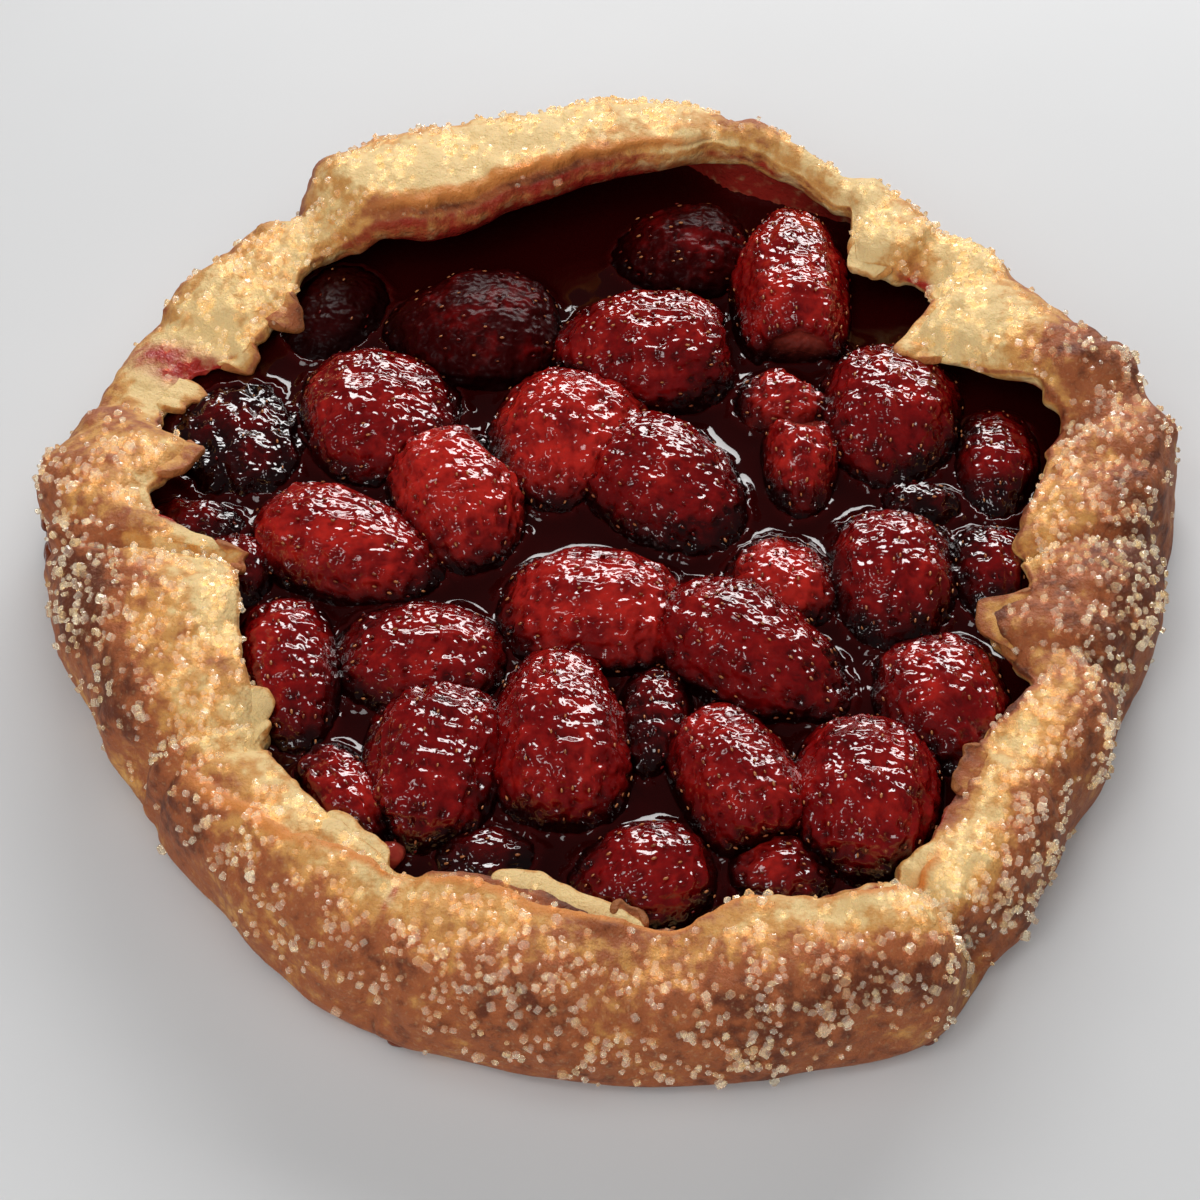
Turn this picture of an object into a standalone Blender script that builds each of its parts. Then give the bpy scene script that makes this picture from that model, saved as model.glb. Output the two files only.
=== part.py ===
"""A free-form strawberry galette: one folded pastry crust, its syrup and 35 baked strawberry pieces.

The frame is in metres with +Z up. The origin is at the middle of the flat underside, and -Y is the
front. Sizes and places below are in millimetres, and angles in degrees anticlockwise from +X.
"""
from collections import namedtuple
from math import atan2, copysign, cos, pi, radians, sin, sqrt

import bmesh
import bpy
from mathutils import Matrix, Vector

MM = 0.001

# Driving dimensions
FLOOR_THICKNESS = 4.5       # the pastry under the fruit
SYRUP_LEVEL = 16.0          # top of the syrup above the table
WALL_THICKNESS = 8.0        # the folded wall at the height of the syrup
FLOOR_CORNER = 7.0          # the wall's slope inwards from the syrup's surface to the floor
FIT_GAP = 0.3               # clearance between touching pieces
FRUIT_SEAT = 11.0           # height of a berry's cut plane
RIM_STATIONS = 120          # sections round the crust
CENTRING = (-1.4, -2.4, 0)  # moves the middle of the uneven outline to the origin

# Outside edge of the crust, as (angle, radius): a rounded shape with uneven corners
OUTLINE = ((5, 118), (14, 124), (22, 118), (36, 115), (46, 114), (55, 116), (64, 113), (74, 114),
           (82, 121), (96, 119), (110, 122), (121, 123), (128, 118), (136, 117), (143, 120),
           (151, 118), (162, 116), (171, 118), (187, 113), (206, 107), (226, 108), (246, 114),
           (264, 115), (282, 117), (298, 122), (312, 114), (328, 109), (344, 110))

# Inner edge of the folded border, as (angle, radius): flaps reach in and torn gaps reach out
LIP = ((3, 86), (10, 92), (16, 98), (22, 92), (28, 84), (36, 76), (40, 95), (46, 92), (52, 86),
       (58, 100), (73, 103), (84, 96), (97, 89), (115, 84), (125, 94), (132, 96), (140, 91),
       (149, 92), (154, 99), (164, 98), (169, 86), (177, 92), (184, 86), (191, 75), (203, 77), (216, 84),
       (232, 87), (247, 91), (257, 87), (270, 92), (278, 95), (285, 92), (297, 99), (304, 99),
       (314, 92), (325, 89), (333, 91), (339, 79), (347, 85), (354, 82))

# Height of the border's crest, as (angle, height)
CREST = ((0, 29), (14, 31), (26, 32), (40, 31), (62, 32), (80, 36), (108, 36), (121, 35),
         (131, 28), (143, 25), (152, 19), (160, 19), (168, 27), (178, 29), (192, 31), (208, 29),
         (219, 25), (236, 25), (258, 25.5), (274, 23.5), (290, 26), (300, 27), (318, 27),
         (340, 28))

# How far the lip hangs below the crest, as (angle, drop)
LIP_DROP = ((0, 3), (36, 6), (60, 2), (90, 1), (115, 2), (140, 3), (155, 1), (170, 2), (190, 4),
            (215, 2), (250, 0.5), (290, 0.5), (320, 2), (345, 3.5))

# Thickness of the folded dough at the lip, as (angle, thickness)
LIP_THICKNESS = ((0, 5), (40, 4), (62, 5), (80, 8), (118, 9), (130, 5), (150, 3.5), (170, 4),
                 (200, 6), (240, 4.5), (290, 4.5), (330, 4))

# Section of the border from its foot to its lip, as (inward, upward) shares of width and crest
CREST_PLACE = 0.54
BORDER_SECTION = ((0.08, 0.0), (0.0, 0.15), (0.01, 0.37), (0.05, 0.6), (0.14, 0.8), (0.3, 0.94),
                  (CREST_PLACE, 1.0), (0.78, 1.0), (0.93, 0.98))

# Section of the lip, as (outward, downward) shares of the border's width and the lip's thickness
LIP_SECTION = ((0.0, 0.35), (0.03, 0.8), (0.15, 1.0))
ROOF_REACH = 0.3            # the lip's underside keeps level over this share of the border's width
ROOF_CORNER = 2.0           # and meets the inner wall this far short of the syrup's edge
ROOF_CLEARANCE = 0.8        # lowest height of that underside above the syrup
ROOF_SLOPE = 0.2

# Pleats as (foot angle, lip angle, half width, height): a negative height is a crease
PLEATS = ((212, 217, 5, -5.0), (204, 200, 9, 2.0), (249, 246, 4, -2.0), (307, 302, 5, -4.5),
          (299, 296, 4, 2.0), (179, 190, 4, -4.5), (172, 178, 5, 2.0), (194, 197, 7, 2.0),
          (16, 12, 4, -3.0), (23, 20, 4, 3.0), (0, 354, 5, -3.0), (340, 337, 6, -2.5),
          (330, 328, 6, 1.5), (351, 346, 5, 1.5), (128, 127, 5, -4.0), (146, 146, 5, -1.5),
          (108, 110, 6, -1.5), (90, 92, 8, 1.0), (72, 71, 3, 2.0), (62, 60, 5, -3.0),
          (48, 44, 5, -2.0), (266, 268, 8, 1.0), (285, 284, 7, 1.0), (232, 234, 6, 1.5))
PLEAT_START = 0.4           # a pleat reaches its full height at this share of the crest's height
PLEAT_RISE = 0.8            # and rises by this share of how far it stands out

POINTED, BLUNT = 1.75, 2.6  # how square the tip of a piece is: 2 is an ellipse
Berry = namedtuple("Berry", "x y heading length width height tip", defaults=(POINTED,))

# The strawberry pieces: middle, heading of the tip, length, width, height above the seat, and tip
STRAWBERRIES = [Berry(*values) for values in (
    (-60, 62, 250, 32, 23, 9), (-30, 57, 180, 38, 33, 14), (16, 81, 180, 31, 27, 15),
    (40, 69, 92, 47, 25, 17, BLUNT), (-46.5, 33, 15, 35, 40, 15), (7, 50, 180, 41, 33, 17),
    (-9, 24, 250, 40, 35, 16), (13, 12, 310, 40, 31, 15), (-30, 8, 285, 37, 27, 15, 2.0),
    (36, 36, 180, 21, 18, 12), (40, 17, 270, 27, 14, 13), (59, 31, 262, 39, 31, 15.5, 2.0),
    (81, 18, 265, 31, 17, 10), (-77, 27, 100, 32, 29, 9, BLUNT), (-83, 3, 350, 22, 12, 8.5),
    (-74, -10, 280, 18, 13, 9), (-50, -4.5, 336, 46, 28, 15, 1.5),
    (-4, -20, 180, 38, 31, 14, 2.0), (34.5, -11.5, 90, 24, 23, 13), (29, -31.5, 322, 45, 28, 16),
    (57, -13, 265, 37, 27, 14), (65, 8, 0, 17, 11, 9), (77, -11, 268, 25, 16, 9),
    (-38, -31, 175, 35, 28, 13, 2.0), (-61.5, -36.5, 281, 38, 19, 12),
    (-33, -57, 262, 39, 27, 15, BLUNT), (-9, -50.5, 92, 41, 26, 16, BLUNT),
    (9, -49, 270, 31, 14, 12), (23.5, -59, 114, 37, 23, 16, 2.0),
    (48, -65, 262, 35, 28, 15, 2.2), (65, -43.5, 285, 33, 26, 14), (5, -82, 200, 28, 23, 12),
    (33, -80, 350, 21, 17, 10), (-48.5, -65, 300, 29, 14, 10), (-21, -76, 10, 24, 14, 8))]


def clear_scene():
    for thing in list(bpy.data.objects):
        bpy.data.objects.remove(thing, do_unlink=True)


def collection(name):
    group = bpy.data.collections.new(name)
    bpy.context.scene.collection.children.link(group)
    return group


def finish(name, colour, roughness):
    """A plain Principled material."""
    material = bpy.data.materials.new(name)
    material.use_nodes = True
    shader = material.node_tree.nodes["Principled BSDF"]
    shader.inputs["Base Color"].default_value = (*colour, 1.0)
    shader.inputs["Roughness"].default_value = roughness
    material.diffuse_color = (*colour, 1.0)
    return material


def add_object(mesh_data, name, group, material):
    """Turn a bmesh in millimetres into a named object in metres."""
    bmesh.ops.recalc_face_normals(mesh_data, faces=mesh_data.faces)
    bmesh.ops.translate(mesh_data, vec=CENTRING, verts=mesh_data.verts)
    bmesh.ops.scale(mesh_data, vec=(MM, MM, MM), verts=mesh_data.verts)
    mesh = bpy.data.meshes.new(name)
    mesh_data.to_mesh(mesh)
    mesh_data.free()
    mesh.materials.append(material)
    mesh.shade_smooth()
    mesh.set_sharp_from_angle(angle=radians(50))
    thing = bpy.data.objects.new(name, mesh)
    group.objects.link(thing)
    return thing


# ---- the crust ---------------------------------------------------------------------------------

def slopes(knots):
    """The slope at each knot of a closed ring that keeps the curve from overshooting."""
    count = len(knots)
    steps = []
    for place, (angle, value) in enumerate(knots):
        next_angle, next_value = knots[(place + 1) % count]
        span = (next_angle - angle) % 360
        steps.append((next_value - value) / span)
    result = []
    for place in range(count):
        before, after = steps[place - 1], steps[place]
        same_way = before * after > 0
        result.append(2 * before * after / (before + after) if same_way else 0.0)
    return result


def round_value(knots, angle):
    """Smooth value at an angle, through (angle, value) knots placed once round the galette."""
    count = len(knots)
    gradient = slopes(knots)
    for place, (start, value) in enumerate(knots):
        end, next_value = knots[(place + 1) % count]
        span = (end - start) % 360
        along = (angle - start) % 360
        if along <= span:
            t = along / span
            ease = t * t * (3 - 2 * t)
            leave = gradient[place] * span * t * (1 - t) ** 2
            arrive = gradient[(place + 1) % count] * span * t * t * (t - 1)
            return value + (next_value - value) * ease + leave + arrive
    return knots[0][1]


def hump(distance, half_width):
    """1 at the middle of a fold, falling smoothly to 0 at its edges."""
    if abs(distance) >= half_width:
        return 0.0
    return 0.5 + 0.5 * cos(pi * distance / half_width)


def pleat_height(angle, inward):
    """Height of the folds at a place on the border; each fold slants from its foot to its lip."""
    total = 0.0
    for foot, lip, half_width, height in PLEATS:
        slant = (lip - foot + 180) % 360 - 180
        distance = (angle - foot - slant * inward + 180) % 360 - 180
        total += height * hump(distance, half_width)
    return total


def syrup_edge(angle):
    """Radius at which the syrup's surface meets the wall, hidden under the border."""
    return round_value(OUTLINE, angle) - WALL_THICKNESS


def border_top(angle):
    """The border's upper side from the foot to just before the lip, as (radius, height) points."""
    outside = round_value(OUTLINE, angle)
    width = outside - round_value(LIP, angle)
    crest, drop = round_value(CREST, angle), round_value(LIP_DROP, angle)
    points = []
    for inward, upward in BORDER_SECTION:
        sag = drop * max(0.0, (inward - CREST_PLACE) / (1 - CREST_PLACE)) ** 2
        fold = pleat_height(angle, inward) * min(1.0, upward / PLEAT_START)
        lean = radians(90 * min(1.0, inward / CREST_PLACE))
        radius = outside - width * inward + fold * cos(lean)
        points.append((radius, crest * upward - sag + fold * sin(lean) * PLEAT_RISE))
    return points


def crust_section(angle):
    """The closed section of the crust at an angle: over the border, round its lip, and inside."""
    section = border_top(angle)
    lip, edge = round_value(LIP, angle), syrup_edge(angle)
    lip_top = section[-1][1]
    under = max(lip_top - round_value(LIP_THICKNESS, angle), SYRUP_LEVEL + ROOF_CLEARANCE)
    width = round_value(OUTLINE, angle) - lip
    for outward, downward in LIP_SECTION:
        section.append((lip + outward * width, lip_top - downward * (lip_top - under)))
    section.append((max(edge - ROOF_CORNER, lip + ROOF_REACH * width), under - ROOF_SLOPE))
    section.append((edge, SYRUP_LEVEL))
    section.append((edge - FLOOR_CORNER, FLOOR_THICKNESS))
    return section


def ring(mesh_data, points):
    """Add one level round the galette, from (angle, radius, height) triples."""
    return [mesh_data.verts.new((radius * cos(radians(angle)), radius * sin(radians(angle)), height))
            for angle, radius, height in points]


def join_rings(mesh_data, rings):
    """Skin neighbouring rings with quads and close both ends with flat faces."""
    for lower, upper in zip(rings, rings[1:]):
        for place in range(len(lower)):
            after = (place + 1) % len(lower)
            mesh_data.faces.new((lower[place], lower[after], upper[after], upper[place]))
    mesh_data.faces.new(list(reversed(rings[0])))
    mesh_data.faces.new(rings[-1])


def station_angles():
    return [360.0 * place / RIM_STATIONS for place in range(RIM_STATIONS)]


def make_crust(group, material):
    mesh_data = bmesh.new()
    sections = [(angle, crust_section(angle)) for angle in station_angles()]
    levels = len(sections[0][1])
    rings = []
    for level in range(levels):
        rings.append(ring(mesh_data, [(angle, *section[level]) for angle, section in sections]))
    join_rings(mesh_data, rings)
    return add_object(mesh_data, "crust", group, material)


# ---- the strawberries --------------------------------------------------------------------------

BERRY_SIDES = 12
BERRY_RINGS = 7
STEM_SHARE = 0.42           # the widest place of a berry, as a share of its length from the stem
STEM_ROUNDNESS = 2.6        # the stem end is blunt
DOME_ROUNDNESS = 2.2        # and the top a little flat
ON_PLANE = 0.001            # points this close to a cut lie on it
NEAR = 1.25                 # neighbours further apart than this share of their reaches don't touch


def seat_of(number):
    """Height of a berry's cut face: the pieces have settled a little unevenly."""
    return FRUIT_SEAT + 0.37 * ((number * 3) % 7 - 3)


def widest_place(berry):
    """The point on a berry's length where it is widest, nearer its stem than its tip."""
    turn = radians(berry.heading)
    back = (0.5 - STEM_SHARE) * berry.length
    return Vector((berry.x - back * cos(turn), berry.y - back * sin(turn), 0.0))


def end_of(berry, along):
    """Length from the widest place to the stem or tip, and how square that end is."""
    if along < 0:
        return STEM_SHARE * berry.length, STEM_ROUNDNESS
    return (1 - STEM_SHARE) * berry.length, berry.tip


def rounded(value, roundness):
    """A sine or cosine pulled towards the corner of its quarter circle."""
    return copysign(abs(value) ** (2 / roundness), value)


def slice_off(mesh_data, place, direction):
    """Cut away all that lies beyond a plane, and close the cut with one flat face."""
    everything = [*mesh_data.verts, *mesh_data.edges, *mesh_data.faces]
    bmesh.ops.bisect_plane(mesh_data, geom=everything, dist=ON_PLANE, plane_co=place,
                           plane_no=direction, clear_outer=True)
    open_edges = [edge for edge in mesh_data.edges if edge.is_boundary]
    if open_edges:
        bmesh.ops.holes_fill(mesh_data, edges=open_edges)


def berry_mesh(berry, number):
    """A half strawberry lying on its cut side: a ball drawn out to its two ends and cut in half."""
    mesh_data = bmesh.new()
    bmesh.ops.create_uvsphere(mesh_data, u_segments=BERRY_SIDES, v_segments=BERRY_RINGS, radius=1.0)
    for vert in mesh_data.verts:
        along, side, up = vert.co.z, vert.co.x, vert.co.y
        end, roundness = end_of(berry, along)
        girth = sqrt(side * side + up * up)
        width = rounded(girth, roundness)
        if girth > 0:
            side, up = rounded(side / girth, DOME_ROUNDNESS), rounded(up / girth, DOME_ROUNDNESS)
        vert.co = Vector((rounded(along, roundness) * end, side * width * berry.width / 2,
                          up * width * berry.height))
    slice_off(mesh_data, Vector((0, 0, 0)), Vector((0, 0, -1)))
    lay = Matrix.Translation(widest_place(berry) + Vector((0, 0, seat_of(number))))
    lay = lay @ Matrix.Rotation(radians(berry.heading), 4, "Z")
    bmesh.ops.transform(mesh_data, matrix=lay, verts=mesh_data.verts)
    return mesh_data


def reach(berry, direction):
    """How far a berry's outline reaches from its widest place along a level direction."""
    turned = direction - radians(berry.heading)
    end, roundness = end_of(berry, cos(turned))
    shares = abs(cos(turned)) / end, abs(sin(turned)) / (berry.width / 2)
    return sum(share ** roundness for share in shares) ** (-1 / roundness)


def press_together(mesh_data, berry, neighbours):
    """Flatten a berry where a neighbour presses on it, midway in proportion to their sizes."""
    for other in neighbours:
        step = widest_place(other) - widest_place(berry)
        direction = atan2(step.y, step.x)
        own, theirs = reach(berry, direction), reach(other, direction + pi)
        if step.length > NEAR * (own + theirs):
            continue
        share = step.length * own / (own + theirs) - FIT_GAP / 2
        meeting = widest_place(berry) + step.normalized() * share
        slice_off(mesh_data, meeting, step.normalized())


def make_strawberries(group, material):
    for number, berry in enumerate(STRAWBERRIES, start=1):
        mesh_data = berry_mesh(berry, number)
        press_together(mesh_data, berry, [other for other in STRAWBERRIES if other != berry])
        add_object(mesh_data, f"strawberry_{number:02d}", group, material)


# ---- the syrup ---------------------------------------------------------------------------------

HOLLOW_GAP = 3 * FIT_GAP    # the berries narrow upwards, so their hollows are a little wider
HOLLOW_SIDES = 14


def hollow_mesh(berry, number):
    """The upright hole that a berry sits in: its plan outline with a clearance round it."""
    mesh_data = bmesh.new()
    floor, rim = [], []
    for side in range(HOLLOW_SIDES):
        turn = 2 * pi * (side + 0.5) / HOLLOW_SIDES
        end, roundness = end_of(berry, cos(turn))
        place = Vector((rounded(cos(turn), roundness) * (end + HOLLOW_GAP),
                        rounded(sin(turn), roundness) * (berry.width / 2 + HOLLOW_GAP), 0.0))
        place.rotate(Matrix.Rotation(radians(berry.heading), 3, "Z"))
        place += widest_place(berry) + Vector((0, 0, seat_of(number) - FIT_GAP))
        floor.append(mesh_data.verts.new(place))
        rim.append(mesh_data.verts.new((place.x, place.y, 2 * SYRUP_LEVEL)))
    join_rings(mesh_data, [floor, rim])
    return mesh_data


def make_syrup(group, cutters, material):
    """The pool of syrup, with a hollow where each berry sits."""
    mesh_data = bmesh.new()
    bottom, top = [], []
    for angle in station_angles():
        edge = syrup_edge(angle) - 2 * FIT_GAP
        bottom.append((angle, edge - FLOOR_CORNER, FLOOR_THICKNESS + FIT_GAP))
        top.append((angle, edge, SYRUP_LEVEL))
    join_rings(mesh_data, [ring(mesh_data, bottom), ring(mesh_data, top)])
    syrup = add_object(mesh_data, "syrup", group, material)
    for number, berry in enumerate(STRAWBERRIES, start=1):
        cutter = add_object(hollow_mesh(berry, number), f"hollow_{number:02d}", cutters, material)
        cutter.hide_render = True
        cutter.display_type = "WIRE"
        cut = syrup.modifiers.new(f"hollow {number:02d}", "BOOLEAN")
        cut.operation = "DIFFERENCE"
        cut.solver = "EXACT"
        cut.object = cutter


def main():
    clear_scene()
    parts = collection("strawberry_galette")
    cutters = collection("cutters")
    pastry = finish("pastry", (0.62, 0.36, 0.15), 0.6)
    fruit = finish("baked strawberry", (0.28, 0.01, 0.015), 0.2)
    liquid = finish("strawberry syrup", (0.12, 0.004, 0.008), 0.08)
    make_crust(parts, pastry)
    make_strawberries(parts, fruit)
    make_syrup(parts, cutters, liquid)


main()
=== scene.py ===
# %% [markdown]
# # A strawberry galette
# A galette is a free-form tart: one round of dough, its border folded in over the fruit and baked
# without a tin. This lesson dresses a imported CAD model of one. The CAD gives every size and place:
# the crust, the syrup and each half strawberry are named nodes, and each gets a finely modelled piece
# that stands for it. Lengths below are in millimetres, turned into metres when a mesh is made.

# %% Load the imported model
from math import atan2, cos, degrees, pi, radians, sin

import bpy
import bmesh
import numpy as np
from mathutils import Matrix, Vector, kdtree, noise


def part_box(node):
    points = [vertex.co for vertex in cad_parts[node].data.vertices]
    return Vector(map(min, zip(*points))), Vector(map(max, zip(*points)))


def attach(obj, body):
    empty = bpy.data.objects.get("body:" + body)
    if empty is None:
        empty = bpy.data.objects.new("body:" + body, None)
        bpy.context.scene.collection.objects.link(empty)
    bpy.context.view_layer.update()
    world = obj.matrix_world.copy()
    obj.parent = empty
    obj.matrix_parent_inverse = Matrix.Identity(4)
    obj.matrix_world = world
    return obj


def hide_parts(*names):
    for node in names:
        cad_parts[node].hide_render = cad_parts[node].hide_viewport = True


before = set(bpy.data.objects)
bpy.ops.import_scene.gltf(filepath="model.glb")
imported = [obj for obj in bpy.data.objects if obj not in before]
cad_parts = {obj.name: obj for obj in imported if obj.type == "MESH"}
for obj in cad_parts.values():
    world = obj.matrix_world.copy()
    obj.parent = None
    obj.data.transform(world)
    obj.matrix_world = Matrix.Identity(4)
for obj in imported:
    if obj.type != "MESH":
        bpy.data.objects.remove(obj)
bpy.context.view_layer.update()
MM = 0.001
POLE = np.array((-1.4, -2.4, 0.0))      # the middle that the crust's sections turn about
print("CAD nodes:", len(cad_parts))

# %% [markdown]
# ## Small helpers
# Operators act on all that is selected, and loading leaves every CAD node selected, so each step
# first deselects everything. A mesh worked out as points and faces becomes an object at the origin,
# unturned and unscaled, like a CAD node, so that a pattern on object coordinates stays where it is.

# %% Helpers for objects


def deselect():
    if bpy.context.object and bpy.context.object.mode != "OBJECT":
        bpy.ops.object.mode_set(mode="OBJECT")
    bpy.ops.object.select_all(action="DESELECT")


def add_object(name, data):
    """A new object in the scene, from a mesh, a lamp or a camera."""
    made = bpy.data.objects.new(name, data)
    bpy.context.scene.collection.objects.link(made)
    return made


def make_piece(name, points, faces):
    """A new object from points in millimetres and faces as tuples of point numbers."""
    mesh = bpy.data.meshes.new(name)
    mesh.from_pydata([tuple(point) for point in np.asarray(points) * MM], [], faces)
    mesh.validate()
    mesh.shade_smooth()
    return add_object(name, mesh)


def apply_modifier(piece, kind, **settings):
    """Give a piece a modifier and apply it at once."""
    deselect()
    bpy.context.view_layer.objects.active = piece
    piece.select_set(True)
    modifier = piece.modifiers.new(kind.lower(), kind)
    for name, value in settings.items():
        setattr(modifier, name, value)
    bpy.ops.object.modifier_apply(modifier=modifier.name)


def join_pieces(name, pieces):
    """Make one object of several."""
    deselect()
    for piece in pieces:
        piece.select_set(True)
    bpy.context.view_layer.objects.active = pieces[0]
    bpy.ops.object.join()
    joined = bpy.context.object
    joined.name = joined.data.name = name
    return joined


def small_shape(scale, bevel=0.0):
    """Squash the active shape, which is made a metre large for each millimetre, and take it out of
    the scene again. Returns its points in millimetres and its faces."""
    pattern = bpy.context.object
    bpy.ops.object.mode_set(mode="EDIT")
    bpy.ops.mesh.select_all(action="SELECT")
    bpy.ops.transform.resize(value=scale)
    if bevel:
        bpy.ops.mesh.bevel(offset=bevel, segments=1, affect="EDGES")
        bpy.ops.mesh.quads_convert_to_tris()
    bpy.ops.object.mode_set(mode="OBJECT")
    points = points_of(pattern.data) * MM
    faces = [tuple(face.vertices) for face in pattern.data.polygons]
    bpy.data.objects.remove(pattern)
    return points, faces


def paint(piece, name, values):
    """Store one number for each point, for the material to read."""
    layer = piece.data.attributes.new(name, "FLOAT", "POINT")
    layer.data.foreach_set("value", np.asarray(values, dtype=np.float32))


def settle(piece, slot, *nodes):
    """Tie a finished piece to the galette, and hide the CAD nodes it stands for."""
    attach(piece, "root")
    if nodes:
        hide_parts(*nodes)


def points_of(mesh):
    """The places of a mesh's points in millimetres, one row each."""
    values = np.empty(len(mesh.vertices) * 3)
    mesh.vertices.foreach_get("co", values)
    return values.reshape(-1, 3) / MM


def write_points(mesh, points):
    mesh.vertices.foreach_set("co", (np.asarray(points) * MM).ravel())
    mesh.update()


# %% [markdown]
# Dough and fruit are uneven at many sizes at once. Smooth noise gives that: the size is about the
# distance from one bump to the next, and the shift picks another part of the same pattern.

# %% Helpers for unevenness


def unevenness(points, size, shift=0.0):
    """Smooth noise from -1 to 1 at each point."""
    places = np.asarray(points) / size + shift
    return np.array([noise.noise(Vector(place)) for place in places])


def layered(points, kinds):
    """Sum of several sizes of unevenness, each (height in mm, size in mm, shift)."""
    return sum(height * unevenness(points, size, shift) for height, size, shift in kinds)


def ridged(points, size, shift=0.0):
    """Sharp crests, as on wrinkled skin: 1 on a crest, falling away on both sides."""
    return 1.0 - 2.0 * np.abs(unevenness(points, size, shift))


def ease(low, high, values):
    """0 up to low, 1 from high on, and a smooth rise between them."""
    t = np.clip((np.asarray(values, dtype=float) - low) / (high - low), 0.0, 1.0)
    return t * t * (3.0 - 2.0 * t)


def mound(distance, half_width):
    """1 at the middle and a smooth fall to 0 at the half width."""
    return 1.0 - ease(0.0, 1.0, np.abs(distance) / half_width)


def turn_between(angles, angle):
    """Signed turn in degrees from an angle, the short way round."""
    return (np.asarray(angles) - angle + 180.0) % 360.0 - 180.0


# %% [markdown]
# ## Shader maths
# A `Wire` is one socket of a material. Sums written on wires add Math nodes, so a recipe reads like
# arithmetic, and `node` adds any other kind of node. A wire used as a mask blends two colours.

# %% The wire


class Wire:
    """A socket of a shader tree that can stand in sums."""

    def __init__(self, tree, socket=None):
        self.tree, self.socket = tree, socket

    def node(self, kind, settings, inputs, output=0):
        made = self.tree.nodes.new("ShaderNode" + kind)
        for name, value in settings.items():
            setattr(made, name, value)
        for name, value in inputs.items():
            if isinstance(value, Wire):
                self.tree.links.new(value.socket, made.inputs[name])
            else:
                made.inputs[name].default_value = value
        return Wire(self.tree, made.outputs[output])

    def maths(self, operation, first, second=0.0):
        return self.node("Math", {"operation": operation}, {0: first, 1: second})

    def __add__(self, other):
        return self.maths("ADD", self, other)

    def __sub__(self, other):
        return self.maths("SUBTRACT", self, other)

    def __rsub__(self, other):
        return self.maths("SUBTRACT", other, self)

    def __mul__(self, other):
        return self.maths("MULTIPLY", self, other)

    __radd__, __rmul__ = __add__, __mul__

    def clamp(self):
        return self.node("Clamp", {}, {"Value": self})

    def step(self, low, high):
        """0 below low, 1 above high, smooth between."""
        return self.node("MapRange", {"interpolation_type": "SMOOTHSTEP"},
                         {"Value": self, "From Min": low, "From Max": high})

    def blend(self, low, high):
        """The low colour where this mask is 0 and the high colour where it is 1."""
        made = self.tree.nodes.new("ShaderNodeMix")
        made.data_type = "RGBA"
        made.clamp_factor = True
        for number, value in ((0, self), (6, low), (7, high)):
            if isinstance(value, Wire):
                self.tree.links.new(value.socket, made.inputs[number])
            else:
                made.inputs[number].default_value = value if number == 0 else (*value, 1.0)
        return Wire(self.tree, made.outputs[2])

    def grain(self, size, detail=2.0, roughness=0.5, shift=0.0, wide=1.0):
        """Noise from 0 to 1 whose bumps are about this many millimetres apart, or wider along x."""
        place = self.node("TexCoord", {}, {}, "Object")
        if wide != 1.0:
            squeeze = (1.0 / wide, 1.0, 1.0)
            place = self.node("VectorMath", {"operation": "MULTIPLY"}, {0: place, 1: squeeze})
        if shift:
            place = self.node("VectorMath", {"operation": "ADD"}, {0: place, 1: (shift,) * 3})
        return self.node("TexNoise", {}, {"Vector": place, "Scale": 1.0 / (size * MM),
                                          "Detail": detail, "Roughness": roughness}, "Fac")

    def painted(self, name):
        """A number stored on the piece."""
        return self.node("Attribute", {"attribute_name": name}, {}, "Fac")

    def bump(self, height, depth, under=None):
        """Relief from a height: depth is in millimetres for a height from 0 to 1."""
        inputs = {"Strength": 1.0, "Distance": depth * MM, "Height": height}
        if under:
            inputs["Normal"] = under
        return self.node("Bump", {}, inputs, "Normal")


def new_finish(name, **constants):
    """A material with one Principled shader: its constants are set on the shader's own sockets."""
    material = bpy.data.materials.new(name)
    material.use_nodes = True
    tree = material.node_tree
    shader = tree.nodes["Principled BSDF"]
    for socket, value in constants.items():
        shader.inputs[socket.replace("_", " ")].default_value = value
    return material, Wire(tree)


def feed(material, **wires):
    """Lead finished wires to the shader's sockets."""
    shader = material.node_tree.nodes["Principled BSDF"]
    for socket, wire in wires.items():
        material.node_tree.links.new(wire.socket, shader.inputs[socket.replace("_", " ")])


# %% [markdown]
# ## Camera, floor and light
# The camera looks down at 52 degrees, as someone standing at the table would. A large soft window
# behind the galette and a little to the right puts bright edges on the wet fruit and leaves the near
# side in soft shade, and the pale table throws some light back on the crust's wall.

# %% Camera
CAMERA_TARGET = Vector((-0.0029, -0.0164, 0.014))
CAMERA_HEIGHT_ANGLE, CAMERA_DISTANCE, CAMERA_LENS = 52.0, 0.506, 75.66
view = bpy.data.cameras.new("camera")
view.lens, view.sensor_width = CAMERA_LENS, 36.0
camera = add_object("camera", view)
rise = radians(CAMERA_HEIGHT_ANGLE)
camera.location = CAMERA_TARGET + CAMERA_DISTANCE * Vector((0.0, -cos(rise), sin(rise)))
camera.rotation_euler = (CAMERA_TARGET - camera.location).to_track_quat("-Z", "Y").to_euler()
bpy.context.scene.camera = camera

# %% Floor
deselect()
bpy.ops.mesh.primitive_plane_add(size=4.0, location=(0, 0, -0.0002))
table = bpy.context.object
table.name = "table"
floor_finish, wire = new_finish("table_white", Roughness=0.6)
cloudy = wire.grain(90.0, 3.0)
feed(floor_finish, Base_Color=cloudy.blend((0.62, 0.622, 0.625), (0.67, 0.672, 0.675)))
table.data.materials.append(floor_finish)

# %% Lights


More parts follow.
